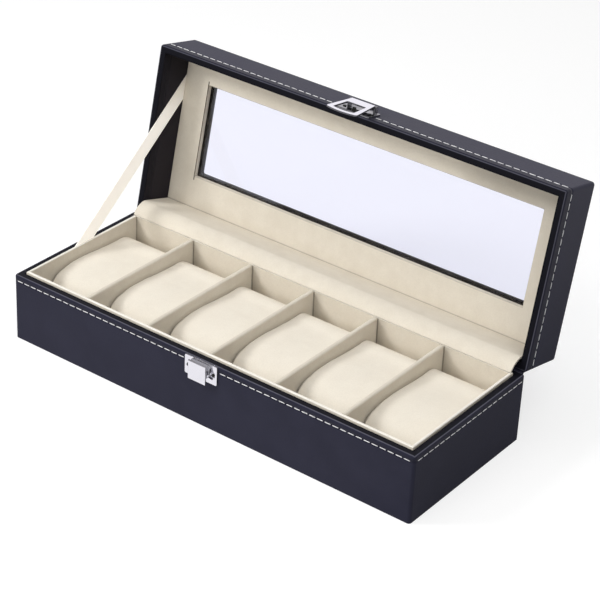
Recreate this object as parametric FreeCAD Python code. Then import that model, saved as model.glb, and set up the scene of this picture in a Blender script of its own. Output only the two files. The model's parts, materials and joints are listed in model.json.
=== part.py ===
"""Watch box with six pillows: leather-covered boards, velvet lining, glazed lid and a chrome hasp.

Millimetres, +Z up, +X along the box, front face towards -Y. The origin is the middle of the underside.
The lid is drawn closed and then swung open about its rear edge, which is how the box stands at rest.
"""
import math
import os

import FreeCAD
import Part

V = FreeCAD.Vector
os.makedirs("parts", exist_ok=True)

# Overall box
box_length = 300.0
box_width = 112.0
base_height = 45.0
lid_height = 33.5
rim_gap = 0.5
lid_open_deg = 102.0

# Boards and their leather
board = 3.6
leather = 0.6
floor_board = 3.0
corner_radius = 2.0
rim_radius = 1.2
leather_lift = 0.2
leather_turn_in = 20.0
felt_inset = 10.3
felt = 0.8
through = 1.0

# Velvet lining of the base
lining_gap = 0.5
liner = 1.9
liner_above_rim = 1.5
liner_edge_radius = 0.7
floor_lining = 1.5
slots = 6
divider = 3.0
divider_below_liner = 0.2
divider_edge_radius = 1.2
divider_end_gap = 0.3

# Pillows
pillow_side_gap = 0.3
pillow_back_gap = 2.2
pillow_front_gap = 13.6
pillow_floor_gap = 0.3
pillow_height = 33.5
pillow_front_radius = 13.0
pillow_back_radius = 14.0
pillow_crown = 1.3
pillow_crown_back = 21.0
pillow_back_fall = 1.4
pillow_top_bow = 0.1
pillow_side_draw = 1.0
pillow_shoulder = 1.6

# Lid window
frame_end = 24.0
frame_front = 23.1
frame_back = 27.1
window_radius = 1.3
frame_board = 2.6
frame_reveal = 1.4
frame_turn_in = 9.0
pane = 1.7
pane_end_overlap = 14.0
pane_side_overlap = 11.2
panel = 3.2
panel_window_radius = 0.4
panel_corner_radius = 2.0
panel_edge_radius = 0.3

# Flexible pieces
hinge_strip = 0.6
hinge_strip_gap = 0.12
hinge_strip_leg = 12.0
hinge_strip_bend = 1.6
hinge_axis_out = 0.3
flap_cloth = 1.2
flap_gap = 0.3
flap_side_gap = 0.8
flap_bend = 7.0
flap_rise = 1.2
ribbon_width = 10.5
ribbon = 0.3
ribbon_base_y = 2.4
ribbon_lid_y = -26.0
ribbon_tuck = 10.0
ribbon_lid_tuck = 2.0

# Catch on the base front
catch_width = 24.0
catch_height = 12.5
plate = 1.0
plate_corner_radius = 1.0
cheek = 1.2
cheek_depth = 2.6
cheek_span = 12.4
cheek_height = 8.0
cheek_drop = 0.6
button_width = 13.0
button_height = 12.5
button = 1.2
button_gap = 0.3
button_edge = 0.3
button_travel = 2.8
block_height = 3.2
block_lift = 2.9
block_gap = 0.25
pin_radius = 0.75
pin_gap = 0.12
pin_proud = 0.2
spring_radius = 1.0
spring_wire = 0.36
spring_turns = 3
spring_sides = 6

# Hasp on the lid front
hasp_plate_height = 13.2
hasp_plate_above_rim = 0.3
hasp_pin_above_rim = 11.0
hasp_nail_rise = 5.4
hasp_pin_out = 4.0
barrel_radius = 1.6
barrel_length = 17.0
lug = 1.3
lug_gap = 0.3
flap_width = 22.4
flap_sheet = 1.0
flap_tip_below_rim = 11.7
flap_tip_out = 3.2
flap_bar = 2.0
flap_arm = 3.6
flap_window_height = 13.9
flap_window_taper = 0.7
flap_corner = 1.6
flap_bow = 1.7
flap_window_bow = 1.1

# Nails of both fittings
nail_radius = 0.7
nail_head_radius = 1.2
nail_head = 0.5
nail_head_edge = 0.3
nail_spread = 9.4
nail_length = 4.2
nail_gap = 0.05
rivet_radius = 1.1
rivet_head_radius = 1.6
rivet_head = 2.2
rivet_rise = 1.7

# Sizes that follow from the ones above
half_x = box_length / 2
half_y = box_width / 2
wall = board + 2 * leather
inner_x = half_x - wall
inner_y = half_y - wall
board_x = half_x - leather
board_y = half_y - leather
board_in_x = board_x - board
board_in_y = board_y - board
liner_x = inner_x - lining_gap
liner_y = inner_y - lining_gap
well_x = liner_x - liner
well_y = liner_y - liner
board_bottom = leather_lift + leather
floor_top = board_bottom + floor_board
well_floor = floor_top + floor_lining
liner_top = base_height + liner_above_rim
divider_top = liner_top - divider_below_liner
slot_pitch = (2 * well_x + divider) / slots
slot_width = slot_pitch - divider

lid_bottom = base_height + rim_gap
lid_top = lid_bottom + lid_height
frame_top = lid_top - leather
frame_bottom = frame_top - frame_board
pane_top = frame_bottom - leather
pane_bottom = pane_top - pane
panel_bottom = pane_bottom - panel
window_length = box_length - 2 * frame_end
window_width = box_width - frame_front - frame_back
window_y = (frame_front - frame_back) / 2
hinge_y = half_y + hinge_axis_out
hinge_z = base_height + rim_gap / 2


def block(x0, x1, y0, y1, z0, z1):
    """A box between two corners."""
    return Part.makeBox(x1 - x0, y1 - y0, z1 - z0, V(x0, y0, z0))


def centred(hx, hy, z0, z1, y=0.0):
    """A box of half sizes hx and hy about the middle of the part."""
    return block(-hx, hx, y - hy, y + hy, z0, z1)


def edges_along(shape, axis, keep=lambda point: True):
    """Straight edges that run along an axis and whose midpoint is wanted."""
    found = []
    for edge in shape.Edges:
        if not isinstance(edge.Curve, Part.Line):
            continue
        run = edge.Vertexes[1].Point - edge.Vertexes[0].Point
        if abs(abs(run.dot(axis)) - run.Length) < 1e-6 and keep(edge.CenterOfMass):
            found.append(edge)
    return found


def round_corners(shape, radius):
    """Rounds the upright edges."""
    return shape.makeFillet(radius, edges_along(shape, V(0, 0, 1)))


def round_top(shape, radius, z):
    """Rounds every edge that lies at height z."""
    flat = [e for e in shape.Edges if abs(e.BoundBox.ZMin - z) < 1e-6 and abs(e.BoundBox.ZMax - z) < 1e-6]
    return shape.makeFillet(radius, flat)


def opened(shape):
    """Swings a closed-lid shape to the open lid."""
    turned = shape.copy()
    turned.rotate(V(0, hinge_y, hinge_z), V(1, 0, 0), -lid_open_deg)
    return turned


def opened_point(y, z):
    """A closed-lid point of the cross-section, on the open lid."""
    turn = math.radians(lid_open_deg)
    dy = y - hinge_y
    dz = z - hinge_z
    out_y = dy * math.cos(turn) + dz * math.sin(turn)
    out_z = dz * math.cos(turn) - dy * math.sin(turn)
    return hinge_y + out_y, hinge_z + out_z


def save(name, *solids):
    """Writes one node."""
    shape = solids[0] if len(solids) == 1 else Part.makeCompound(list(solids))
    shape.exportStep("parts/" + name + ".step")


def box_walls(prefix, z0, z1, finish, cut=None):
    """Front and back boards run the full length, the end boards stand between them."""
    outer = board_x - (corner_radius - leather)
    for name, side in (("front", -1), ("back", 1)):
        low, high = sorted((side * board_in_y, side * board_y))
        long_board = block(-board_x, board_x, low, high, z0, z1)
        outside = edges_along(long_board, V(0, 0, 1), lambda p: side * p.y > board_in_y + board / 2)
        long_board = long_board.makeFillet(board_x - outer, outside)
        if cut is not None and side < 0:
            long_board = long_board.cut(cut)
        save(prefix + "_board_" + name, finish(long_board))
    for name, side in (("left", -1), ("right", 1)):
        low, high = sorted((side * board_in_x, side * board_x))
        save(prefix + "_board_" + name, finish(block(low, high, -board_in_y, board_in_y, z0, z1)))


def nails(z, plate_front_y):
    """Two nails through a fitting's plate into the front board, heads outwards."""
    made = []
    for side in (-1, 1):
        place = V(side * nail_spread, plate_front_y, z)
        shank = Part.makeCylinder(nail_radius, nail_length, place, V(0, 1, 0))
        crown = nail_head_radius - nail_head_edge
        head = Part.makeCone(nail_head_radius, crown, nail_head, place, V(0, -1, 0))
        made.append(shank.fuse(head).removeSplitter())
    return made


def nail_holes(z):
    """Holes for the two nails, cut through the plate, the leather and the board."""
    reach = plate + wall
    starts = [V(side * nail_spread, -half_y - plate, z) for side in (-1, 1)]
    holes = [Part.makeCylinder(nail_radius + nail_gap, reach, start, V(0, 1, 0)) for start in starts]
    return holes[0].fuse(holes[1])


def bent_strip(start, bend, end, radius, thickness, half_length):
    """A strip along X whose section is two straight legs joined by a tangent bend."""
    a, b, c = (V(0, y, z) for y, z in (start, bend, end))
    first = (a - b).normalize()
    second = (c - b).normalize()
    half_angle = math.acos(first.dot(second)) / 2
    reach = radius / math.tan(half_angle)
    centre = b + (first + second).normalize() * (radius / math.sin(half_angle))
    entry = b + first * reach
    leave = b + second * reach
    crown = centre + (b - centre).normalize() * radius
    sides = []
    for offset in (-thickness / 2, thickness / 2):
        entry_out = (entry - centre).normalize() * offset
        leave_out = (leave - centre).normalize() * offset
        crown_out = (crown - centre).normalize() * offset
        sides.append((a + entry_out, entry + entry_out, crown + crown_out, leave + leave_out, c + leave_out))
    low, high = sides
    section = [
        Part.LineSegment(low[0], low[1]).toShape(),
        Part.Arc(low[1], low[2], low[3]).toShape(),
        Part.LineSegment(low[3], low[4]).toShape(),
        Part.LineSegment(low[4], high[4]).toShape(),
        Part.LineSegment(high[4], high[3]).toShape(),
        Part.Arc(high[3], high[2], high[1]).toShape(),
        Part.LineSegment(high[1], high[0]).toShape(),
        Part.LineSegment(high[0], low[0]).toShape(),
    ]
    solid = Part.Face(Part.Wire(section)).extrude(V(2 * half_length, 0, 0))
    solid.translate(V(-half_length, 0, 0))
    return solid


# Fastening heights, shared by the fittings and the boards they are nailed to
catch_nail_z = base_height - catch_height / 2
hasp_nail_z = lid_bottom + hasp_plate_above_rim + hasp_nail_rise
catch_holes = nail_holes(catch_nail_z)
rivet_z = lid_bottom + hasp_plate_above_rim + rivet_rise
rivet_start = V(0, -half_y - plate, rivet_z)
rivet_hole = Part.makeCylinder(rivet_radius + nail_gap, plate + wall, rivet_start, V(0, 1, 0))
hasp_holes = nail_holes(hasp_nail_z).fuse(rivet_hole)


def make_base_shell():
    """Boards, leather, felt and the floor of the base."""
    box_walls("base", board_bottom, base_height - leather, lambda s: s, catch_holes)
    save("base_board_floor", centred(board_in_x, board_in_y, board_bottom, floor_top))
    cover = round_corners(centred(half_x, half_y, leather_lift, base_height), corner_radius)
    cover = round_top(cover, rim_radius, base_height)
    cover = cover.cut(centred(inner_x, inner_y, board_bottom, base_height + through))
    boards = centred(board_x, board_y, board_bottom, base_height - leather)
    boards = round_corners(boards, corner_radius - leather)
    core = centred(inner_x + leather, inner_y + leather, base_height - leather_turn_in, base_height)
    cover = cover.cut(boards.cut(core))
    cover = cover.cut(centred(half_x - felt_inset + leather, half_y - felt_inset + leather, 0, board_bottom))
    save("base_leather_cover", cover.cut(catch_holes))
    sheet = round_corners(centred(half_x - felt_inset, half_y - felt_inset, 0, felt), corner_radius)
    save("base_felt", sheet)


def make_base_lining():
    """Velvet liners, the floor lining and the dividers between the watches."""
    for name, side in (("front", -1), ("back", 1)):
        low, high = sorted((side * well_y, side * liner_y))
        save("liner_" + name, round_top(block(-liner_x, liner_x, low, high, floor_top, liner_top),
                                        liner_edge_radius, liner_top))
    for name, side in (("left", -1), ("right", 1)):
        low, high = sorted((side * well_x, side * liner_x))
        strip = block(low, high, -well_y, well_y, floor_top, liner_top)
        save("liner_" + name, strip.makeFillet(liner_edge_radius, edges_along(
            strip, V(0, 1, 0), lambda p: p.z > liner_top - liner_edge_radius)))
    save("floor_lining", centred(well_x, well_y, floor_top, well_floor))
    for index in range(1, slots):
        x = -well_x - divider / 2 + index * slot_pitch
        reach = well_y - divider_end_gap
        wall_card = block(x - divider / 2, x + divider / 2, -reach, reach, well_floor, divider_top)
        top = edges_along(wall_card, V(0, 1, 0), lambda p: p.z > divider_top - divider_edge_radius)
        save("divider_%d" % index, wall_card.makeFillet(divider_edge_radius, top))


def pillow_section(x, inset):
    """Side profile of a pillow: flat base, round front, crowned brow and a straight top to a round back."""
    front = -well_y + pillow_front_gap + inset
    back = well_y - pillow_back_gap - inset
    low = well_floor + pillow_floor_gap + inset
    high = low + pillow_height - 2 * inset
    nose = pillow_front_radius - inset
    tail = pillow_back_radius - inset
    middle = (low + high) / 2
    slant = math.sqrt(0.5)
    brow = high - pillow_crown
    rear = high - pillow_back_fall
    points = {
        "heel": V(x, front + nose, low),
        "heel_arc": V(x, front + nose * (1 - slant), low + (middle - low) * (1 - slant)),
        "nose": V(x, front, middle),
        "brow_arc": V(x, front + nose * (1 - slant), middle + (brow - middle) * slant),
        "brow": V(x, front + nose, brow),
        "crown": V(x, front + pillow_crown_back, high),
        "rear": V(x, back - tail, rear),
        "tail_arc": V(x, back - tail * (1 - slant), middle + (rear - middle) * slant),
        "tail": V(x, back, middle),
        "foot_arc": V(x, back - tail * (1 - slant), low + (middle - low) * (1 - slant)),
        "foot": V(x, back - tail, low),
    }
    p = points
    ridge = (p["crown"] + p["rear"]) * 0.5 + V(0, 0, pillow_top_bow)
    top = Part.BSplineCurve()
    top.interpolate([p["brow"], p["crown"], ridge, p["rear"]])
    return Part.Wire([
        Part.Arc(p["heel"], p["heel_arc"], p["nose"]).toShape(),
        Part.Arc(p["nose"], p["brow_arc"], p["brow"]).toShape(),
        top.toShape(),
        Part.Arc(p["rear"], p["tail_arc"], p["tail"]).toShape(),
        Part.Arc(p["tail"], p["foot_arc"], p["foot"]).toShape(),
        Part.LineSegment(p["foot"], p["heel"]).toShape(),
    ])


def make_pillows():
    """Six pillows, crowned across and drawn in at their sides."""
    half = slot_width / 2 - pillow_side_gap
    full = half - pillow_shoulder
    stations = ((-half, pillow_side_draw), (-full, 0.0), (full, 0.0), (half, pillow_side_draw))
    pillow = Part.makeLoft([pillow_section(x, inset) for x, inset in stations], True, True)
    for index in range(slots):
        placed = pillow.copy()
        placed.translate(V(-well_x + slot_width / 2 + index * slot_pitch, 0, 0))
        save("pillow_%d" % (index + 1), placed)


def window_prism(grow, z0, z1, radius):
    """The window opening, grown all round."""
    hx = window_length / 2 + grow
    hy = window_width / 2 + grow
    return round_corners(centred(hx, hy, z0, z1, window_y), radius)


def make_lid_shell():
    """Boards, glazed frame, leather and the velvet panel of the lid."""
    box_walls("lid", lid_bottom + leather, frame_bottom, opened, hasp_holes)
    frame = round_corners(centred(board_x, board_y, frame_bottom, frame_top), corner_radius - leather)
    frame = frame.cut(window_prism(leather - frame_reveal, frame_bottom - through, lid_top, window_radius))
    save("lid_board_frame", opened(frame))

    cover = round_corners(centred(half_x, half_y, lid_bottom, lid_top), corner_radius)
    cover = round_top(cover, rim_radius, lid_top)
    cavity_top = frame_bottom - leather
    cover = round_top(cover, rim_radius, lid_bottom)
    cover = cover.cut(centred(inner_x, inner_y, lid_bottom - through, cavity_top))
    walls = centred(board_x, board_y, lid_bottom + leather, frame_bottom)
    walls = round_corners(walls, corner_radius - leather)
    walls = walls.cut(centred(inner_x + leather, inner_y + leather, lid_bottom, frame_top))
    cover = cover.cut(walls).cut(frame)
    soffit = centred(inner_x + leather, inner_y + leather, cavity_top, frame_bottom)
    turned_in = window_prism(frame_turn_in, cavity_top - through, frame_bottom + through, window_radius)
    cover = cover.cut(soffit.cut(turned_in))
    cover = cover.cut(window_prism(-frame_reveal, cavity_top - through, lid_top + through, window_radius))
    cover = cover.cut(hasp_holes)
    save("lid_leather_cover", opened(cover))

    glass_x = window_length / 2 + pane_end_overlap
    glass_y = window_width / 2 + pane_side_overlap
    glass = centred(glass_x, glass_y, pane_bottom, pane_top, window_y)
    save("window_pane", opened(glass))
    card = round_corners(centred(liner_x, liner_y, panel_bottom, pane_bottom), panel_corner_radius)
    card = card.cut(window_prism(0, panel_bottom - through, pane_bottom + through, panel_window_radius))
    near = window_prism(through, panel_bottom - through, pane_bottom, panel_window_radius)
    rim = [e for e in card.Edges if abs(e.BoundBox.ZMax - panel_bottom) < 1e-6
           and near.isInside(e.CenterOfMass, 1e-6, True)]
    save("lid_velvet_panel", opened(card.makeFillet(panel_edge_radius, rim)))


def make_flexible_pieces():
    """Leather hinge behind, velvet flap inside and the ribbon that stops the lid."""
    leather_y = half_y + hinge_strip_gap + hinge_strip / 2
    base_leg = (leather_y, base_height - hinge_strip_leg)
    lid_leg = opened_point(leather_y, lid_bottom + hinge_strip_leg)
    fold = (leather_y, hinge_z - (leather_y - hinge_y) * math.tan(math.radians(lid_open_deg / 2)))
    save("hinge_leather", bent_strip(base_leg, fold, lid_leg, hinge_strip_bend, hinge_strip,
                                     half_x - corner_radius))

    cloth_y = inner_y - flap_gap - flap_cloth / 2
    start = (well_y + liner / 2, liner_top + flap_gap + flap_cloth / 2)
    bend = opened_point(cloth_y - flap_rise, lid_bottom)
    end = opened_point(cloth_y, panel_bottom - flap_gap)
    save("hinge_velvet", bent_strip(start, bend, end, flap_bend, flap_cloth, inner_x - flap_side_gap))

    low = V(0, ribbon_base_y, liner_top)
    high = V(0, *opened_point(ribbon_lid_y, panel_bottom))
    along = (high - low).normalize()
    across = V(0, -along.z, along.y) * (ribbon_width / 2)
    tucked = V(0, *opened_point(ribbon_lid_y, panel_bottom + ribbon_lid_tuck))
    inward = tucked - high
    corners = []
    for side in (1, -1):
        edge = low + across * side
        foot = edge - along * ((edge.z - liner_top + ribbon_tuck) / along.z)
        head = edge + along * ((tucked - edge).dot(inward) / along.dot(inward))
        corners.append((foot, head))
    (foot_a, head_a), (foot_b, head_b) = corners
    outline = Part.makePolygon([foot_a, head_a, head_b, foot_b, foot_a])
    band = Part.Face(outline).extrude(V(ribbon, 0, 0))
    band.translate(V(-(inner_x + liner_x) / 2 - ribbon / 2, 0, 0))
    save("stay_ribbon", band)


def coil(x, y, z0, z1, radius, wire, turns):
    """An open coil spring along Z, swept on quarter-turn arcs."""
    quarters = 4 * turns
    rise = (z1 - z0 - wire) / quarters
    def on_coil(step):
        angle = step * math.pi / 2
        return V(x + radius * math.cos(angle), y + radius * math.sin(angle), z0 + wire / 2 + step * rise)
    path = Part.Wire([
        Part.Arc(on_coil(i), on_coil(i + 0.5), on_coil(i + 1)).toShape() for i in range(quarters)
    ])
    spokes = [2 * math.pi * side / spring_sides for side in range(spring_sides + 1)]
    ring = Part.makePolygon([on_coil(0) + V(math.cos(a), 0, math.sin(a)) * (wire / 2) for a in spokes])
    gap = min((on_coil(i) - on_coil(i + 4)).Length for i in range(quarters - 3)) - wire
    print("spring least gap between turns %.2f mm" % gap)
    return path.makePipeShell([ring], True, False)


def make_catch():
    """Catch on the base front: bracket, sprung square button, its cross pin, spring and nails."""
    top = base_height
    face = -half_y
    front = face - plate
    cheek_top = top - cheek_drop
    cheek_bottom = cheek_top - cheek_height
    back_plate = block(-catch_width / 2, catch_width / 2, front, face, top - catch_height, top)
    back_plate = back_plate.makeFillet(plate_corner_radius, edges_along(back_plate, V(0, 1, 0)))
    bracket = back_plate.cut(catch_holes)
    pin_z = cheek_bottom + block_lift - block_height / 2
    pin_y = front - cheek_depth / 2
    for side in (-1, 1):
        low, high = sorted((side * cheek_span / 2, side * (cheek_span / 2 - cheek)))
        bracket = bracket.fuse(block(low, high, front - cheek_depth, front, cheek_bottom, cheek_top))
    bridge_bottom = cheek_top - plate
    bridge = block(-cheek_span / 2, cheek_span / 2, front - cheek_depth, front, bridge_bottom, cheek_top)
    bracket = bracket.fuse(bridge)
    slot_radius = pin_radius + pin_gap
    slot_top = pin_z + button_travel
    slot = block(-cheek_span, cheek_span, pin_y - slot_radius, pin_y + slot_radius, pin_z, slot_top)
    for z in (pin_z, slot_top):
        slot = slot.fuse(Part.makeCylinder(slot_radius, 2 * cheek_span, V(-cheek_span, pin_y, z), V(1, 0, 0)))
    save("catch_bracket", bracket.cut(slot).removeSplitter())

    button_back = front - cheek_depth - button_gap
    button_front = button_back - button
    square = block(-button_width / 2, button_width / 2, button_front, button_back, top - button_height, top)
    rim = [e for e in square.Edges if abs(e.BoundBox.YMax - button_front) < 1e-6]
    square = square.makeChamfer(button_edge, rim)
    block_x = cheek_span / 2 - cheek - block_gap
    block_bottom = pin_z - block_height / 2
    block_top = pin_z + block_height / 2
    slide = block(-block_x, block_x, button_back, front - block_gap, block_bottom, block_top)
    slide = slide.cut(Part.makeCylinder(pin_radius, 2 * block_x, V(-block_x, pin_y, pin_z), V(1, 0, 0)))
    save("catch_button", square.fuse(slide).removeSplitter())
    pin_half = cheek_span / 2 + pin_proud
    save("catch_pin", Part.makeCylinder(pin_radius, 2 * pin_half, V(-pin_half, pin_y, pin_z), V(1, 0, 0)))
    save("catch_spring", coil(0, pin_y, block_top, bridge_bottom, spring_radius, spring_wire, spring_turns))
    save("catch_nails", *nails(catch_nail_z, front))


def flap_blank(top_half, bottom_half, bottom, top, bow, thickness):
    """A tapered plate across Y with a bowed lower edge."""
    outline = Part.Wire([
        Part.LineSegment(V(-top_half, 0, top), V(top_half, 0, top)).toShape(),
        Part.LineSegment(V(top_half, 0, top), V(bottom_half, 0, bottom)).toShape(),
        Part.Arc(V(bottom_half, 0, bottom), V(0, 0, bottom - bow), V(-bottom_half, 0, bottom)).toShape(),
        Part.LineSegment(V(-bottom_half, 0, bottom), V(-top_half, 0, top)).toShape(),
    ])
    blank = Part.Face(outline).extrude(V(0, thickness, 0))
    blank.translate(V(0, -thickness / 2, 0))
    return blank


def rivet(z, plate_front_y):
    """Tapered rivet in the middle of the hasp's plate, through the leather and the board."""
    place = V(0, plate_front_y, z)
    shank = Part.makeCylinder(rivet_radius, nail_length, place, V(0, 1, 0))
    head = Part.makeCone(rivet_head_radius, rivet_radius, rivet_head, place, V(0, -1, 0))
    return shank.fuse(head).removeSplitter()


def make_hasp():
    """Hasp on the lid front: nailed plate with two lugs, hinge pin and the windowed flap."""
    face = -half_y
    front = face - plate
    plate_bottom = lid_bottom + hasp_plate_above_rim
    plate_top = plate_bottom + hasp_plate_height
    pin_z = lid_bottom + hasp_pin_above_rim
    pin_y = face - hasp_pin_out
    mount = block(-catch_width / 2, catch_width / 2, front, face, plate_bottom, plate_top)
    mount = mount.makeFillet(plate_corner_radius, edges_along(mount, V(0, 1, 0))).cut(hasp_holes)
    for side in (-1, 1):
        x = side * (barrel_length / 2 + lug_gap + lug / 2) - lug / 2
        ear = Part.makeCylinder(barrel_radius, lug, V(x, pin_y, pin_z), V(1, 0, 0))
        web = block(x, x + lug, pin_y, front, pin_z - barrel_radius, pin_z + barrel_radius)
        mount = mount.fuse(ear).fuse(web)
    reach = barrel_length / 2 + lug_gap + lug
    mount = mount.cut(Part.makeCylinder(pin_radius, 2 * reach, V(-reach, pin_y, pin_z), V(1, 0, 0)))
    save("hasp_plate", opened(mount.removeSplitter()))
    pin_half = reach + pin_proud
    pin = Part.makeCylinder(pin_radius, 2 * pin_half, V(-pin_half, pin_y, pin_z), V(1, 0, 0))
    save("hasp_pin", opened(pin))

    tip_z = lid_bottom - flap_tip_below_rim
    root = V(0, pin_y - barrel_radius + flap_sheet / 2, pin_z)
    tip = V(0, face - flap_tip_out + flap_sheet / 2, tip_z)
    lean = math.degrees(math.atan2(tip.y - root.y, root.z - tip.z))
    length = (root - tip).Length
    half = flap_width / 2
    neck = barrel_length / 2
    sheet = flap_blank(neck, half, -length, 0, flap_bow, flap_sheet)
    sheet = sheet.makeFillet(flap_corner, edges_along(sheet, V(0, 1, 0), lambda p: p.z < -length / 2))
    opening = half - flap_arm
    sill = -length + flap_bar
    hole = flap_blank(opening - flap_window_taper, opening, sill, sill + flap_window_height,
                      flap_window_bow, flap_sheet + 2 * through)
    sheet = sheet.cut(hole.makeFillet(flap_corner / 2, edges_along(hole, V(0, 1, 0))))
    sheet.rotate(V(0, 0, 0), V(1, 0, 0), lean)
    sheet.translate(root)
    barrel = Part.makeCylinder(barrel_radius, barrel_length, V(-barrel_length / 2, pin_y, pin_z), V(1, 0, 0))
    bore_start = V(-barrel_length / 2, pin_y, pin_z)
    bore = Part.makeCylinder(pin_radius + pin_gap, barrel_length, bore_start, V(1, 0, 0))
    save("hasp_flap", opened(sheet.fuse(barrel).cut(bore).removeSplitter()))
    made = nails(hasp_nail_z, front)
    save("hasp_nails", *[opened(nail) for nail in made])
    save("hasp_rivet", opened(rivet(rivet_z, front)))


make_base_shell()
make_base_lining()
make_pillows()
make_lid_shell()
make_flexible_pieces()
make_catch()
make_hasp()
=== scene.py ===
"""Looks of the watch box: leather, velvet, pillows, stitching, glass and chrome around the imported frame."""
import json
import math

import bpy
from mathutils import Matrix, Vector

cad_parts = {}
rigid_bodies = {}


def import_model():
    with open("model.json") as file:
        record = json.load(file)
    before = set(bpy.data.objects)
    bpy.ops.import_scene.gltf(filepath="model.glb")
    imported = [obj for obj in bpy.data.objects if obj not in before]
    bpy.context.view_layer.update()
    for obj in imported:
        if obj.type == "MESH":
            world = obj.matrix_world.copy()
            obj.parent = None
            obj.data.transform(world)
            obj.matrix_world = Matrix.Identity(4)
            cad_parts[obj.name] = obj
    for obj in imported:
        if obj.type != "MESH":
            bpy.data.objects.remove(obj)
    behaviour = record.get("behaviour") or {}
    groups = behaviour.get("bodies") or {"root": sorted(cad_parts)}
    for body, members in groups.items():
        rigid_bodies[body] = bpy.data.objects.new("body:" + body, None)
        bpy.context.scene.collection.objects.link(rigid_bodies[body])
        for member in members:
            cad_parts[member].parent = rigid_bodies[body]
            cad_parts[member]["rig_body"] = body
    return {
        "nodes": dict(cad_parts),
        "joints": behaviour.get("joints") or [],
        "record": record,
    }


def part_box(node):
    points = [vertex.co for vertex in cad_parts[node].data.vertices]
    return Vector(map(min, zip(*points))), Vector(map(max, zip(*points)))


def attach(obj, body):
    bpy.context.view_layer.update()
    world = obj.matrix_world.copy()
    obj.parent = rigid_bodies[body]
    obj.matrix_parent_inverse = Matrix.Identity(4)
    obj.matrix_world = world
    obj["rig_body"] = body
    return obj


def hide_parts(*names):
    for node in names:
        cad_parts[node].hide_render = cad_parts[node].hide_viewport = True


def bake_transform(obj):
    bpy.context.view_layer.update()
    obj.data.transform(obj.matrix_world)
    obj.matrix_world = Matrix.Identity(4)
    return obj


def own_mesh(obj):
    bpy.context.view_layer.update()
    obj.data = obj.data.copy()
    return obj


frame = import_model()
nodes = frame["nodes"]
scene = bpy.context.scene
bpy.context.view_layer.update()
scene.view_settings.view_transform = "Standard"

# Joints, and the turn that opens the lid

JOINTS = {joint["name"]: joint for joint in frame["joints"]}
HINGE = Vector(JOINTS["lid_hinge"]["pos_m"])
OPENING = math.radians(JOINTS["lid_hinge"]["range_deg"][0])
LID_OPENED = Matrix.Translation(HINGE) @ Matrix.Rotation(OPENING, 4, "X") @ Matrix.Translation(-HINGE)
LID_CLOSED = LID_OPENED.inverted()


def closed_box(node):
    """Lowest and highest corner of a lid piece with the lid shut."""
    points = [LID_CLOSED @ vertex.co for vertex in nodes[node].data.vertices]
    return [Vector([choose(axis) for axis in zip(*points)]) for choose in (min, max)]


# Sizes in metres; those of the lid are as it lies when shut

SLOTS = 6
HALF_LENGTH, HALF_WIDTH, BASE_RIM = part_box("base_leather_cover")[1]
LINER_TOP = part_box("liner_back")[1].z
LID_RIM, LID_TOP = (corner.z for corner in closed_box("lid_leather_cover"))
PANEL_FACE = closed_box("lid_velvet_panel")[0].z
PANEL_FOOT = closed_box("lid_velvet_panel")[1].y
LEATHER_FOLD = 0.0012
WINDOW_HALF_LENGTH = 0.126
WINDOW_HALF_WIDTH = 0.0309
WINDOW_CENTRE_Y = -0.002

BASE_STITCHES = 0.0414
LID_STITCHES = 0.0518
STITCH_PITCH = 0.0054
STITCH_LENGTH = 0.0042
STITCH_LIFT = 0.00005
THREAD_WIDTH = 0.00056
CORNER_GAP = 0.0025
FITTING_GAP = 0.0129

PLATING_EASE = 0.00018
PILLOW_SHOULDER = 0.0016
TIGHT_SHOULDER = 0.0007
PILLOW_DRAWN_IN = 0.0004
PILLOW_VOXEL = 0.0011
PILLOW_SWELL = 0.0006
PILLOW_END_SHADE_FADES = (-0.035, -0.010)
HINGE_VELVET_THICKNESS = 0.0012
HINGE_VELVET_COLUMNS = 48
HINGE_VELVET_FOOT = (0, 0.0488, 0.0470)
HINGE_VELVET_ON_PANEL = (0, 0.0503, 0.0699)
RIBBON_SHADE = (0.100, 0.132)
RIBBON_CUTS = 20
RIBBON_RIB_TURN = 9000.0

# Camera: degrees, metres, and millimetres for the lens

CAMERA_AZIMUTH = 36.05
CAMERA_ELEVATION = 30.341
CAMERA_ROLL = 2.871
CAMERA_AIM = (0.027, 0, 0.07124)
CAMERA_DISTANCE = 1.21007
CAMERA_LENS = 124.5
CAMERA_SENSOR = 36.0

# Lamps: name, place, aim, width in metres, power in watts

LAMPS = (
    ("key", (-0.97, -0.86, 1.1), (0, 0, 0.05), 0.55, 15.0),
    ("front", (-0.2, -1.7, 0.5), (0, 0, 0.08), 1.0, 9.0),
    ("side", (0.9, -0.5, 1.3), (0, 0, 0.05), 1.3, 10.5),
    ("top", (-0.1, -0.1, 1.7), (0, 0, 0.05), 1.8, 10.0),
)
STRIP_LAMP = ("strip", (-0.029, -1.2, 0.10), (-0.029, 0.104, 0.127), 0.205, 0.0045)
STRIP_HEIGHT = 0.01
STRIP_SPREAD = math.radians(2)
FLOOR_SIZE = 6.0

# Colours, in linear light


def grey(level):
    return (level, level, level, 1)


def scaled(colour, factor):
    return tuple(part * factor for part in colour[:3]) + (1,)


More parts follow.
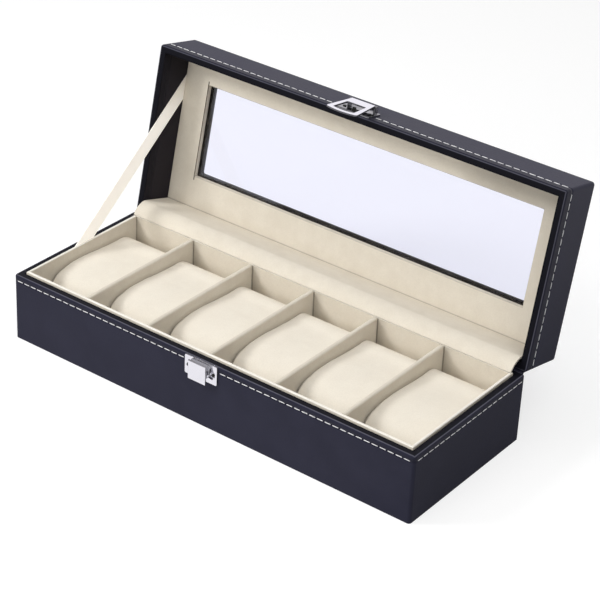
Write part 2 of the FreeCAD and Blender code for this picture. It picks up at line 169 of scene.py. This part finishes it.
WHITE = grey(1)
LILAC = (0.975, 0.95, 1.0, 1)
BLUE_BLACK = (0.0228, 0.0228, 0.0395, 1)
BLUE_BLACK_WORN = (0.0273, 0.0274, 0.0465, 1)
INNER_LEATHER = (0.0225, 0.0195, 0.0240, 1)
WINDOW_REVEAL_SHADE = (0.0050, 0.0042, 0.0045, 1)
MARGIN_DARK = (0.006, 0.006, 0.010, 1)
STITCH_CREASE_SHADE = (0.006, 0.006, 0.011, 1)
TURNED_RIM = (0.004, 0.004, 0.006, 1)
RIM_PAINTED_HIGHLIGHT = (0.13, 0.13, 0.16, 1)
CREAM = (0.705, 0.650, 0.553, 1)
CREAM_BRUSHED = (0.668, 0.610, 0.514, 1)
PILLOW_CREAM = (0.81, 0.755, 0.655, 1)
PILLOW_BRUSHED = (0.785, 0.727, 0.627, 1)
VELVET_PAINTED_SHADE = (0.055, 0.045, 0.032, 1)
VELVET_PAINTED_HIGHLIGHT = (0.89, 0.86, 0.79, 1)
VELVET_SHEEN = (1.0, 0.93, 0.82, 1)
PAINTED_DARK_REFLECTION = (0.06, 0.06, 0.07, 1)
BLACKENED = (0.030, 0.030, 0.028, 1)
SPRING_DARK = (0.42, 0.42, 0.43, 1)
SPRING_BRIGHT = (0.58, 0.58, 0.59, 1)
PANE_TINT = (0.845, 0.85, 0.96, 1)
BOARD_DARK = (0.36, 0.26, 0.16, 1)
BOARD_PALE = (0.55, 0.42, 0.28, 1)
BOARD_STAIN = (0.30, 0.22, 0.14, 1)
FELT_DARK = (0.010, 0.010, 0.012, 1)
FELT_PALE = (0.035, 0.035, 0.040, 1)
SATIN = (0.90, 0.86, 0.78, 1)
SATIN_PALE = (0.94, 0.91, 0.85, 1)
SATIN_PAINTED_GLOW = (1.0, 0.96, 0.90, 1)
SATIN_DIMMED_GLOW = (0.05, 0.04, 0.02, 1)
THREAD_DARK = (0.66, 0.66, 0.67, 1)

DARK_SIDES = "painted_dark_sides"

# Materials: arithmetic on values adds nodes


class Value:
    """A socket on its way through a finish; arithmetic on it adds Math nodes."""

    def __init__(self, finish, socket):
        self.finish = finish
        self.socket = socket

    def math(self, operation, *values):
        return self.finish.add("ShaderNodeMath", {"operation": operation}, dict(enumerate(values)))

    def __add__(self, other):
        return self.math("ADD", self, other)

    def __radd__(self, other):
        return self.math("ADD", other, self)

    def __sub__(self, other):
        return self.math("SUBTRACT", self, other)

    def __rsub__(self, other):
        return self.math("SUBTRACT", other, self)

    def __mul__(self, other):
        return self.math("MULTIPLY", self, other)

    def __rmul__(self, other):
        return self.math("MULTIPLY", other, self)

    def __abs__(self):
        return self.math("ABSOLUTE", self)

    def __mod__(self, length):
        return self.math("FLOORED_MODULO", self, length)

    def sine(self):
        return self.math("SINE", self)

    def most(self, other):
        return self.math("MAXIMUM", self, other)

    def between(self, low, high):
        """0 below low, 1 above high, smooth between."""
        settings = {"interpolation_type": "SMOOTHSTEP"}
        inputs = {"Value": self, "From Min": low, "From Max": high}
        return self.finish.add("ShaderNodeMapRange", settings, inputs)

    def up_to(self, low, high):
        """1 below low, 0 above high, smooth between."""
        return 1 - self.between(low, high)


class Finish:
    """One procedural material, or the world's nodes."""

    def __init__(self, name, owner=None):
        self.material = owner or bpy.data.materials.new(name)
        self.material.use_nodes = True
        self.tree = self.material.node_tree
        self.tree.nodes.clear()
        self.place = None

    def add(self, kind, settings=None, inputs=None, out=0):
        """Any node: its type, its settings, and the values or links of its sockets."""
        node = self.tree.nodes.new(kind)
        for name, value in (settings or {}).items():
            setattr(node, name, value)
        for name, value in (inputs or {}).items():
            if isinstance(value, Value):
                self.tree.links.new(value.socket, node.inputs[name])
            else:
                node.inputs[name].default_value = value
        return Value(self, node.outputs[out]) if node.outputs else None

    def coordinates(self):
        """Object coordinates, which are the part's own metres."""
        if self.place is None:
            self.place = self.add("ShaderNodeTexCoord", out="Object")
        return self.place

    def axes(self, matrix=None):
        """x, y and z of the point as values, carried through a matrix if one is given."""
        point = self.coordinates()
        if matrix is None:
            return [self.add("ShaderNodeSeparateXYZ", None, {0: point}, out=axis) for axis in range(3)]
        found = []
        for row in list(matrix)[:3]:
            inputs = {0: point, 1: row[:3]}
            dot = self.add("ShaderNodeVectorMath", {"operation": "DOT_PRODUCT"}, inputs, out="Value")
            found.append(dot + row[3])
        return found

    def noise(self, scale, detail=2.0, roughness=0.5):
        inputs = {"Vector": self.coordinates(), "Scale": scale, "Detail": detail, "Roughness": roughness}
        return self.add("ShaderNodeTexNoise", None, inputs)

    def cells(self, scale):
        inputs = {"Vector": self.coordinates(), "Scale": scale}
        return self.add("ShaderNodeTexVoronoi", {"feature": "F1"}, inputs, out="Distance")

    def mix(self, factor, first, second):
        inputs = {"Factor": factor, 6: first, 7: second}
        return self.add("ShaderNodeMix", {"data_type": "RGBA"}, inputs, out=2)

    def bump(self, height, distance, strength, normal=None):
        inputs = {"Height": height, "Distance": distance, "Strength": strength}
        if normal is not None:
            inputs["Normal"] = normal
        return self.add("ShaderNodeBump", None, inputs)

    def surface(self, **inputs):
        """The shader; an underscore in an input's name stands for a space."""
        named = {name.replace("_", " "): value for name, value in inputs.items()}
        shader = self.add("ShaderNodeBsdfPrincipled", None, named)
        self.add("ShaderNodeOutputMaterial", None, {"Surface": shader})
        return self.material


def leather_finish(name, stitches, rim_height, rim_highlight_strength, margin_darkness, matrix=None):
    """Blue-black leatherette with painted shade in its stitch creases and window opening, a painted highlight
    along its rim edge, a darker margin, browner inside.
    """
    f = Finish(name)
    x, y, z = f.axes(matrix)
    mottle = f.noise(38.0, detail=3.0)
    pebble = f.cells(950.0)
    fine = f.noise(2600.0)

    from_fold = (abs(x) - (HALF_LENGTH - LEATHER_FOLD)).most(abs(y) - (HALF_WIDTH - LEATHER_FOLD))
    from_rim = abs(z - rim_height)
    margin = abs(stitches - rim_height)
    # Painted shade in the crease along the stitches; the crease's bump is real.
    crease = abs(z - stitches).up_to(0.0002, 0.0016)
    rim = from_rim.up_to(0.0002, 0.0007)
    turned = rim * from_fold.up_to(-0.0002, 0.0002)
    # Painted highlight along the rounded outer edge of the rim.
    rim_highlight = rim * from_fold.between(0.0, 0.0003) * from_fold.up_to(0.0004, 0.0009)
    # A darker strip between the rim and the stitches.
    dark_margin = from_rim.up_to(margin - 0.0012, margin - 0.0004)
    inside = from_fold.up_to(-0.0035, -0.0025) * z.up_to(LID_TOP - 0.0015, LID_TOP - 0.0005)
    # Painted shade: the leather inside the window opening is made near black.
    reveal_shade = inside * from_fold.up_to(-0.0200, -0.0190)

    colour = f.mix(mottle.between(0.3, 0.7), BLUE_BLACK, BLUE_BLACK_WORN)
    colour = f.mix(inside, colour, INNER_LEATHER)
    colour = f.mix(reveal_shade, colour, WINDOW_REVEAL_SHADE)
    colour = f.mix(dark_margin * margin_darkness, colour, MARGIN_DARK)
    colour = f.mix(crease * 0.35, colour, STITCH_CREASE_SHADE)
    colour = f.mix(turned * 0.9, colour, TURNED_RIM)
    colour = f.mix(rim_highlight * (rim_highlight_strength + mottle * 0.4), colour, RIM_PAINTED_HIGHLIGHT)
    rough = 0.38 + mottle * 0.10 + pebble * 0.05 + turned * 0.15 + inside * 0.2 + reveal_shade * 0.2
    grain = f.bump(pebble * 0.6 + fine * 0.4, distance=0.00006, strength=0.75)
    creased = f.bump(1 - crease, distance=0.0003, strength=0.8, normal=grain)
    return f.surface(Base_Color=colour, Roughness=rough, Normal=creased, Specular_IOR_Level=0.10)


def velvet_finish(name, pale, brushed, shade=None, lit_top=None):
    """Short cream velvet with faintly brushed patches.

    shade is a function that gives a mask of painted shade; lit_top is the height of a top edge with a painted
    highlight.
    """
    f = Finish(name)
    nap = f.noise(95.0, detail=3.0, roughness=0.6)
    fuzz = f.noise(1300.0, detail=4.0, roughness=0.6)
    grain = f.cells(2200.0)
    colour = f.mix(nap.between(0.30, 0.72), brushed, pale)
    colour = f.mix(fuzz.between(0.35, 0.75) * 0.24, colour, scaled(brushed, 0.78))
    if shade is not None:
        # Painted shade where the given mask is set.
        colour = f.mix(shade(f), colour, VELVET_PAINTED_SHADE)
    # Painted highlight along the top edge.
    if lit_top is not None:
        z = f.axes()[2]
        colour = f.mix(z.between(lit_top - 0.0006, lit_top - 0.0002) * 0.8, colour, VELVET_PAINTED_HIGHLIGHT)
    pile = f.bump(fuzz * 0.7 + grain * 0.3, distance=0.00012, strength=0.6)
    pile = f.bump(nap, distance=0.0004, strength=0.12, normal=pile)
    return f.surface(Base_Color=colour, Roughness=0.88 + fuzz * 0.12, Normal=pile, Specular_IOR_Level=0.06,
                     Sheen_Weight=0.22, Sheen_Roughness=0.5, Sheen_Tint=VELVET_SHEEN)


def panel_window_shade(f):
    """Painted shade where the panel's velvet turns into the window, and a painted shade line along the
    panel's foot.

    The turn shows as a slit at the left and as a soft line elsewhere.
    """
    x, y, z = f.axes(LID_CLOSED)
    across = abs(x) - WINDOW_HALF_LENGTH
    along = abs(y - WINDOW_CENTRE_Y) - WINDOW_HALF_WIDTH
    on_face = z.up_to(PANEL_FACE + 0.0001, PANEL_FACE + 0.0004)
    slit = abs(x + WINDOW_HALF_LENGTH).up_to(0.0003, 0.0005) * along.up_to(0.0022, 0.0026)
    line = abs(across.most(along)).up_to(0.0001, 0.0004) * 0.35
    foot = y.between(PANEL_FOOT - 0.0017, PANEL_FOOT - 0.0012) * 0.3
    return slit.most(line) * on_face + foot


def pillow_end_shade(f):
    """Painted shade along a pillow's ends against the dividers, which shows where the front curves down into
    its slot.
    """
    low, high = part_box("pillow_1")
    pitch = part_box("pillow_2")[0].x - low.x
    half = (high.x - low.x) / 2
    x, y = f.axes()[:2]
    in_slot = (x - (low.x + half - pitch / 2)) % pitch
    front = y.up_to(*PILLOW_END_SHADE_FADES)
    return abs(in_slot - pitch / 2).between(half - 0.0022, half - 0.0012) * front * 0.7


def corner_shade(f):
    """Shade in the back liner's corners, beside each divider."""
    low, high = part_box("divider_1")
    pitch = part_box("divider_2")[0].x - low.x
    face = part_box("liner_back")[0].y
    x, y = f.axes()[:2]
    beside = (x - high.x) % pitch
    shade = (beside.up_to(0.0006, 0.0016) * 0.62).most(beside.up_to(0.0, 0.009) * 0.28)
    return shade * y.between(face - 0.001, face - 0.0005)


def chrome_finish(name, level):
    """Polished plating with faint wipe marks, and a painted dark reflection on the faces marked for it."""
    f = Finish(name)
    smear = f.noise(140.0)
    dark_sides = f.add("ShaderNodeAttribute", {"attribute_name": DARK_SIDES}, out="Fac")
    plain = (level, level, level * 1.05, 1)
    wiped = (level * 1.08, level * 1.08, level * 1.12, 1)
    colour = f.mix(dark_sides * 0.9, f.mix(smear, plain, wiped), PAINTED_DARK_REFLECTION)
    return f.surface(Base_Color=colour, Metallic=1.0, Roughness=0.07 + smear * 0.10 + dark_sides * 0.2)


def dark_metal_finish():
    """Blackened nails and rivet."""
    f = Finish("blackened_metal")
    wear = f.noise(900.0, detail=3.0)
    colour = f.mix(wear.between(0.55, 0.8), BLACKENED, grey(0.16))
    return f.surface(Base_Color=colour, Metallic=0.8, Roughness=0.32 + wear * 0.15)


def steel_finish():
    """Drawn spring wire."""
    f = Finish("spring_wire")
    drawn = f.noise(2400.0)
    colour = f.mix(drawn, SPRING_DARK, SPRING_BRIGHT)
    return f.surface(Base_Color=colour, Metallic=1.0, Roughness=0.28 + drawn * 0.12)


def glass_finish():
    """Clear window sheet with a trace of dust."""
    f = Finish("window_sheet")
    dust = f.noise(60.0, detail=4.0)
    rough = dust.between(0.5, 0.9) * 0.02
    return f.surface(Base_Color=PANE_TINT, Roughness=rough, Transmission_Weight=1.0, IOR=1.45)


def board_finish():
    """Raw fibre board."""
    f = Finish("fibre_board")
    fibres = f.noise(900.0, detail=4.0)
    patches = f.noise(60.0)
    colour = f.mix(patches * 0.3, f.mix(fibres, BOARD_DARK, BOARD_PALE), BOARD_STAIN)
    return f.surface(Base_Color=colour, Roughness=0.9, Normal=f.bump(fibres, distance=0.0001, strength=0.5))


def felt_finish():
    """Black felt under the base."""
    f = Finish("black_felt")
    hairs = f.noise(1300.0, detail=5.0, roughness=0.7)
    colour = f.mix(hairs, FELT_DARK, FELT_PALE)
    pile = f.bump(hairs, distance=0.0003, strength=0.8)
    return f.surface(Base_Color=colour, Roughness=1.0, Normal=pile, Sheen_Weight=0.3)


def ribbon_finish():
    """Cream satin ribbon with fine cross ribs, and a painted glow for the light through it, dimmer near its
    upper end in shade.
    """
    f = Finish("satin_ribbon")
    z = f.axes()[2]
    nap = f.noise(120.0)
    colour = f.mix(nap, SATIN, SATIN_PALE)
    # Painted glow: the emission stands for light through the satin.
    through = f.mix(z.between(*RIBBON_SHADE), SATIN_PAINTED_GLOW, SATIN_DIMMED_GLOW)
    ribs = f.bump((z * RIBBON_RIB_TURN).sine(), distance=0.00003, strength=0.4)
    return f.surface(Base_Color=colour, Roughness=0.55 + nap * 0.1, Normal=ribs,
                     Emission_Color=through, Emission_Strength=0.30)


def thread_finish():
    """Pale twisted thread."""
    f = Finish("stitch_thread")
    twist = f.noise(2600.0)
    colour = f.mix(twist, THREAD_DARK, grey(0.90))
    strands = f.bump(twist, distance=0.0001, strength=0.5)
    return f.surface(Base_Color=colour, Roughness=0.7, Normal=strands, Sheen_Weight=0.2)


# Camera and studio


def place_camera():
    """The photograph's view: a long lens, a little rolled."""
    azimuth, elevation, roll = map(math.radians, (CAMERA_AZIMUTH, CAMERA_ELEVATION, CAMERA_ROLL))
    level = Vector((math.sin(azimuth), -math.cos(azimuth), 0)) * math.cos(elevation)
    back = level + Vector((0, 0, math.sin(elevation)))
    right = (-back).cross(Vector((0, 0, 1))).normalized()
    up = right.cross(-back)
    across = right * math.cos(roll) + up * math.sin(roll)
    upright = up * math.cos(roll) - right * math.sin(roll)
    lens = bpy.data.cameras.new("camera")
    lens.sensor_width = CAMERA_SENSOR
    lens.lens = CAMERA_LENS
    camera = bpy.data.objects.new("camera", lens)
    scene.collection.objects.link(camera)
    turn = Matrix((across, upright, back)).transposed().to_4x4()
    camera.matrix_world = Matrix.Translation(Vector(CAMERA_AIM) + back * CAMERA_DISTANCE) @ turn
    scene.camera = camera


def area_light(name, place, aim, width, power):
    """A round lamp that polished pieces don't mirror."""
    lamp = bpy.data.lights.new(name, "AREA")
    lamp.shape = "DISK"
    lamp.size = width
    lamp.energy = power
    light = bpy.data.objects.new(name, lamp)
    light.location = place
    light.visible_glossy = False
    light.rotation_euler = (Vector(place) - Vector(aim)).to_track_quat("Z", "Y").to_euler()
    scene.collection.objects.link(light)
    return lamp


def hang_lamps():
    """Four soft lamps, and a narrow strip of light along the upper border of the lid panel."""
    for lamp in LAMPS:
        area_light(*lamp)
    strip = area_light(*STRIP_LAMP)
    strip.shape = "RECTANGLE"
    strip.size_y = STRIP_HEIGHT
    strip.spread = STRIP_SPREAD


def ray_kinds(f):
    """1 for camera or transmitted rays, and 1 for glossy rays."""
    kinds = ("Is Camera Ray", "Is Transmission Ray", "Is Glossy Ray")
    camera, through, glossy = (f.add("ShaderNodeLightPath", out=kind) for kind in kinds)
    return camera.most(through), glossy


def reflected_tint(f, seen, glossy):
    """White, or a faint lilac in reflections."""
    return f.mix(glossy * (1 - seen), WHITE, LILAC)


def light_world():
    """White to the eye and through glass; reflections find it brighter behind the box than before it."""
    scene.world = bpy.data.worlds.new("studio")
    f = Finish("studio", scene.world)
    seen, glossy = ray_kinds(f)
    depth = f.axes()[1]
    backdrop = 0.34 + depth.between(-0.35, 0.35) * 0.72
    level = seen.most(glossy * backdrop).most(0.10)
    inputs = {"Color": reflected_tint(f, seen, glossy), "Strength": level}
    sky = f.add("ShaderNodeBackground", None, inputs)
    f.add("ShaderNodeOutputWorld", None, {"Surface": sky})


def floor_finish():
    """Pale floor that reads as white to the camera and keeps a faint shadow."""
    f = Finish("studio_floor")
    seen, glossy = ray_kinds(f)
    speck = f.noise(3.0)
    x = f.axes()[0]
    # In reflections only: a painted shadow beside the box's right side, and painted light further out.
    shaded = x.between(0.10, 0.15) * x.up_to(0.20, 0.27)
    painted_far_light = x.between(0.24, 0.34)
    mirrored = glossy * (0.58 - shaded * 0.48 + painted_far_light * 0.30)
    diffuse = f.add("ShaderNodeBsdfDiffuse", None, {"Color": f.mix(speck, grey(0.39), grey(0.41))})
    inputs = {"Color": reflected_tint(f, seen, glossy), "Strength": (seen * 0.68).most(mirrored)}
    glow = f.add("ShaderNodeEmission", None, inputs)
    both = f.add("ShaderNodeAddShader", None, {0: diffuse, 1: glow})
    f.add("ShaderNodeOutputMaterial", None, {"Surface": both})
    return f.material


def lay_floor():
    bpy.ops.mesh.primitive_plane_add(size=FLOOR_SIZE, location=(0, 0, 0))
    floor = bpy.context.object
    floor.name = "floor"
    floor.data.materials.append(floor_finish())


# Mesh tools


def pick(piece):
    """Selects one object and nothing else."""
    if bpy.context.mode != "OBJECT":
        bpy.ops.object.mode_set(mode="OBJECT")
    bpy.ops.object.select_all(action="DESELECT")
    piece.hide_set(False)
    piece.select_set(True)
    bpy.context.view_layer.objects.active = piece
    return piece


def apply_all(piece):
    """Applies the modifiers and puts the object's place into its mesh."""
    pick(piece)
    for modifier in list(piece.modifiers):
        bpy.ops.object.modifier_apply(modifier=modifier.name)
    bpy.ops.object.transform_apply(location=True, rotation=True, scale=True)
    return piece


def smooth_below(degrees):
    """Smooths the active piece, apart from edges sharper than this."""
    bpy.ops.object.shade_smooth_by_angle(angle=math.radians(degrees))


def dress(piece, material):
    piece.data.materials.clear()
    piece.data.materials.append(material)
    return piece


def new_piece(name, mesh):
    piece = bpy.data.objects.new(name, mesh)
    scene.collection.objects.link(piece)
    return piece


def copy_of(node, name):
    """A merged copy of a CAD node's mesh, free to be worked on."""
    piece = pick(new_piece(name, nodes[node].data.copy()))
    bpy.ops.object.mode_set(mode="EDIT")
    bpy.ops.mesh.select_all(action="SELECT")
    bpy.ops.mesh.customdata_custom_splitnormals_clear()
    bpy.ops.mesh.remove_doubles(threshold=1e-6)
    bpy.ops.mesh.dissolve_limited(angle_limit=math.radians(0.5))
    bpy.ops.object.mode_set(mode="OBJECT")
    return piece


# Plated fittings


def eased(node, name, material):
    """A CAD piece with its sharp edges eased, standing for its node."""
    piece = copy_of(node, name)
    bevel = piece.modifiers.new("ease", "BEVEL")
    bevel.width = PLATING_EASE
    bevel.segments = 3
    bevel.limit_method = "ANGLE"
    bevel.angle_limit = math.radians(32)
    apply_all(piece)
    smooth_below(38)
    dress(piece, material)
    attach(piece, nodes[node]["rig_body"])
    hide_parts(node)
    return piece


def mark_dark_sides(piece, outward, side_darkness):
    """Marks the faces not facing outward or back, for a painted dark reflection."""
    mark = piece.data.attributes.new(DARK_SIDES, "FLOAT", "FACE")
    for face, value in zip(piece.data.polygons, mark.data):
        value.value = side_darkness if abs(face.normal.dot(outward)) < 0.5 else 0.0


def make_fittings(chrome):
    """The hasp and the catch; the flap's plating is painted a little brighter, and the plate behind it much
    darker, as painted light and shade.
    """
    lit_hasp_chrome = chrome_finish("lit_hasp_chrome_plate", 0.80)
    shaded_chrome = chrome_finish("shaded_chrome_plate", 0.20)
    base_front = Vector((0, -1, 0))
    lid_front = LID_OPENED.to_3x3() @ base_front
    fittings = (
        ("hasp_flap", lit_hasp_chrome, lid_front, 1.0),
        ("hasp_plate", shaded_chrome, lid_front, 0.0),
        ("catch_bracket", chrome, base_front, 0.7),
        ("catch_button", chrome, base_front, 0.7),
    )
    for node, plating, outward, side_darkness in fittings:
        piece = eased(node, "bright_" + node, plating)
        mark_dark_sides(piece, outward, side_darkness)


def make_spring(material):
    """The catch's spring, a smooth-shaded copy of its CAD node."""
    low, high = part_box("catch_spring")
    piece = copy_of("catch_spring", "coil_spring")
    bpy.ops.object.shade_smooth()
    dress(piece, material)
    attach(piece, "base")
    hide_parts("catch_spring")
    travel = JOINTS["catch_slide"]["range_m"][1]
    spare_share = 0.03
    keep = (high.z - low.z - travel) / (high.z - low.z) - spare_share
    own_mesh(piece)


# Stitching


def one_stitch():
    """One stitch along Z: a six-sided thread whose ends taper into the leather."""
    straight, tip = 0.72, 0.45
    taper = STITCH_LENGTH * (1 - straight) / 2
    bpy.ops.object.select_all(action="DESELECT")
    bpy.ops.mesh.primitive_cylinder_add(vertices=6, radius=THREAD_WIDTH / 2, depth=STITCH_LENGTH * straight)
    stitch = bpy.context.object
    for up in (1, -1):
        bpy.ops.object.mode_set(mode="EDIT")
        bpy.ops.mesh.select_mode(type="FACE")
        bpy.ops.mesh.select_all(action="DESELECT")
        bpy.ops.object.mode_set(mode="OBJECT")
        for face in stitch.data.polygons:
            face.select = face.normal.z * up > 0.9
        bpy.ops.object.mode_set(mode="EDIT")
        bpy.ops.mesh.extrude_region_move(TRANSFORM_OT_translate={"value": (0, 0, up * taper)})
        bpy.ops.transform.resize(value=(tip, tip, 1))
        bpy.ops.object.mode_set(mode="OBJECT")
    bpy.ops.object.shade_smooth()
    return stitch


def stitch_runs(height):
    """Runs of (start, end, outward) round the box, just proud of the leather, stopping at the fittings."""
    x, y = HALF_LENGTH + STITCH_LIFT, HALF_WIDTH + STITCH_LIFT
    end_x, end_y = HALF_LENGTH - CORNER_GAP, HALF_WIDTH - CORNER_GAP
    return [
        ((-end_x, -y, height), (-FITTING_GAP, -y, height), (0, -1, 0)),
        ((FITTING_GAP, -y, height), (end_x, -y, height), (0, -1, 0)),
        ((x, -end_y, height), (x, end_y, height), (1, 0, 0)),
        ((end_x, y, height), (-end_x, y, height), (0, 1, 0)),
        ((-x, end_y, height), (-x, -end_y, height), (-1, 0, 0)),
    ]


def arrayed(stitch, name, start, end, outward):
    """Copies of the stitch along one straight run."""
    run = Vector(end) - Vector(start)
    along = run.normalized()
    count = round(run.length / STITCH_PITCH)
    row = new_piece(name, stitch.data.copy())
    turn = Matrix((Vector(outward).cross(along), outward, along)).transposed().to_4x4()
    row.matrix_world = Matrix.Translation(Vector(start) + run * (0.5 / count)) @ turn
    array = row.modifiers.new("along", "ARRAY")
    array.count = count
    array.use_relative_offset = False
    array.use_constant_offset = True
    array.constant_offset_displace = (0, 0, run.length / count)
    return apply_all(row)


def stitch_row(name, height, body, material, matrix=None):
    """Stitching round the base or the lid: one stitch arrayed along each run, then joined."""
    stitch = one_stitch()
    rows = [arrayed(stitch, name, *run) for run in stitch_runs(height)]
    bpy.data.objects.remove(stitch)
    whole = pick(rows[0])
    for row in rows:
        row.select_set(True)
    bpy.ops.object.join()
    if matrix is not None:
        whole.data.transform(matrix)
    dress(whole, material)
    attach(whole, body)


# Pillows


def tighten_shoulders(pad, low, high):
    """Carries the pillow's top nearer to its ends, so that the ends turn down more sharply."""
    middle, half = (low.x + high.x) / 2, (high.x - low.x) / 2
    for vertex in pad.data.vertices:
        off = vertex.co.x - middle
        reach = abs(off)
        if reach <= half - PILLOW_SHOULDER:
            reach *= (half - TIGHT_SHOULDER) / (half - PILLOW_SHOULDER)
        else:
            reach = half - (half - reach) * TIGHT_SHOULDER / PILLOW_SHOULDER
        vertex.co.x = middle + math.copysign(reach, off)


def remesh_drawn_in(pad):
    """Draws the surface in a little, then gives it even faces for the cloth."""
    pick(pad)
    bpy.ops.object.mode_set(mode="EDIT")
    bpy.ops.mesh.select_all(action="SELECT")
    bpy.ops.transform.shrink_fatten(value=-PILLOW_DRAWN_IN)
    bpy.ops.object.mode_set(mode="OBJECT")
    pad.data.remesh_voxel_size = PILLOW_VOXEL
    bpy.ops.object.voxel_remesh()


def inflate(pad, low, high):
    """Blows the cover up as cloth, held to a small swelling and to the width of the slot."""
    start = [vertex.co.copy() for vertex in pad.data.vertices]
    cloth = pad.modifiers.new("cloth", "CLOTH").settings
    cloth.use_pressure = True
    cloth.uniform_pressure_force = 4.0
    cloth.tension_stiffness = 40
    cloth.compression_stiffness = 40
    cloth.bending_stiffness = 2.0
    cloth.effector_weights.gravity = 0
    first, last = 1, 12
    for step in range(first, last + 1):
        scene.frame_set(step)
    pick(pad)
    bpy.ops.object.modifier_apply(modifier="cloth")
    scene.frame_set(first)
    for vertex, rest in zip(pad.data.vertices, start):
        move = vertex.co - rest
        if move.length > PILLOW_SWELL:
            vertex.co = rest + move.normalized() * PILLOW_SWELL
        vertex.co.x = min(max(vertex.co.x, low.x), high.x)


def swell_pillow(low, high):
    """One pillow in the place of pillow_3, from its solid."""
    pad = copy_of("pillow_3", "pillow_form")
    tighten_shoulders(pad, low, high)
    remesh_drawn_in(pad)
    inflate(pad, low, high)
    smooth = pad.modifiers.new("even", "SMOOTH")
    smooth.factor = 0.5
    smooth.iterations = 2
    pick(pad)
    bpy.ops.object.modifier_apply(modifier="even")
    return pad


def make_pillows(material):
    """Six pillows from one form, each with its own mesh."""
    low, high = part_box("pillow_3")
    form = swell_pillow(low, high)
    home = (low + high) / 2
    for number in range(1, SLOTS + 1):
        low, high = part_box("pillow_%d" % number)
        mesh = form.data.copy()
        mesh.transform(Matrix.Translation((low + high) / 2 - home))
        pillow = pick(new_piece("velvet_pillow_%d" % number, mesh))
        bpy.ops.object.shade_smooth()
        dress(pillow, material)
        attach(pillow, "pillow_%d" % number)
        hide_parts("pillow_%d" % number)
    bpy.data.objects.remove(form)


# Strips across the hinge


def strip_sheet(name, path, half_length, material):
    """A strip of the hinge velvet along X whose section follows a smooth path of (y, z) points."""
    spans = len(path) - 1
    bpy.ops.mesh.primitive_grid_add(x_subdivisions=HINGE_VELVET_COLUMNS, y_subdivisions=spans, size=1)
    strip = bpy.context.object
    strip.name = name
    for vertex in strip.data.vertices:
        y, z = path[round((vertex.co.y + 0.5) * spans)]
        vertex.co = (vertex.co.x * 2 * half_length, y, z)
    body = strip.modifiers.new("thickness", "SOLIDIFY")
    body.thickness = HINGE_VELVET_THICKNESS
    body.offset = 0.0
    apply_all(strip)
    smooth_below(50)
    return dress(strip, material)


def hinge_velvet_path():
    """The hinge velvet's section as (y, z): over the rims on an arc, then straight to the lid panel."""
    steps = 14
    spread, sag = 0.0003, 0.0009
    reach = Vector(HINGE_VELVET_FOOT[1:]) - HINGE.yz
    first, last = math.atan2(reach.y, reach.x), math.radians(70)
    path = []
    for step in range(steps + 1):
        part = step / steps
        angle = first + (last - first) * part
        radius = reach.length + spread * part - sag * math.sin(math.pi * part)
        path.append((HINGE.y + radius * math.cos(angle), HINGE.z + radius * math.sin(angle)))
    crest = Vector(path[-1])
    end = (LID_OPENED @ Vector(HINGE_VELVET_ON_PANEL)).yz
    path += [tuple(crest.lerp(end, step / steps)) for step in range(1, steps + 1)]
    return path


def make_hinge_velvet(material):
    """Velvet over the inside of the hinge."""
    path = hinge_velvet_path()
    half_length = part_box("hinge_velvet")[1].x
    strip = strip_sheet("velvet_hinge_flap", path, half_length, material)
    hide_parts("hinge_velvet")
    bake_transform(strip)


def make_hinge_leather(material):
    """The leather strip behind, which the lid hangs on."""
    piece = copy_of("hinge_leather", "leather_hinge_strip")
    apply_all(piece)
    smooth_below(40)
    dress(piece, material)
    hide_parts("hinge_leather")
    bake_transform(piece)


def make_ribbon(material):
    """The ribbon that stops the lid, subdivided into finer faces."""
    piece = copy_of("stay_ribbon", "satin_stay")
    bpy.ops.object.mode_set(mode="EDIT")
    bpy.ops.mesh.select_all(action="SELECT")
    bpy.ops.mesh.subdivide(number_cuts=RIBBON_CUTS)
    bpy.ops.object.mode_set(mode="OBJECT")
    apply_all(piece)
    dress(piece, material)
    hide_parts("stay_ribbon")
    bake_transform(piece)


# The whole box


def make_finishes():
    """The finish of each material slot."""
    return {
        "board": board_finish(),
        "felt": felt_finish(),
        "pane": glass_finish(),
        "spring_steel": steel_finish(),
        "chrome": chrome_finish("chrome_plate", 0.78),
        "dark_metal": dark_metal_finish(),
        "leather": leather_finish("base_leatherette", BASE_STITCHES, BASE_RIM, rim_highlight_strength=0.5, margin_darkness=0.2),
        "lining_velvet": velvet_finish("lining_velvet_pile", CREAM, CREAM_BRUSHED),
        "pillow_velvet": velvet_finish("pillow_velvet_pile", PILLOW_CREAM, PILLOW_BRUSHED, pillow_end_shade),
        "ribbon": ribbon_finish(),
    }


def dress_frame(finishes):
    """Gives each CAD node its slot's finish, or its own where its edges, painted shade or painted highlights
    need one.
    """
    liner = velvet_finish("liner_velvet_pile", CREAM, CREAM_BRUSHED, corner_shade, LINER_TOP)
    own = {"liner_" + side: liner for side in ("front", "back", "left", "right")}
    own["lid_velvet_panel"] = velvet_finish("panel_velvet_pile", CREAM, CREAM_BRUSHED, panel_window_shade)
    own["lid_leather_cover"] = leather_finish(
        "lid_leatherette", LID_STITCHES, LID_RIM, rim_highlight_strength=0.25, margin_darkness=0.5, matrix=LID_CLOSED)
    for part in frame["record"]["subparts"]:
        name = part["node"]
        dress(nodes[name], own.get(name, finishes[part["material_slot"]]))


def main():
    place_camera()
    light_world()
    hang_lamps()
    lay_floor()
    finishes = make_finishes()
    dress_frame(finishes)
    make_fittings(finishes["chrome"])
    make_pillows(finishes["pillow_velvet"])
    make_hinge_velvet(finishes["lining_velvet"])
    make_hinge_leather(finishes["leather"])
    make_ribbon(finishes["ribbon"])
    make_spring(finishes["spring_steel"])
    thread = thread_finish()
    stitch_row("base_stitching", BASE_STITCHES, "base", thread)
    stitch_row("lid_stitching", LID_STITCHES, "lid", thread, LID_OPENED)


main()
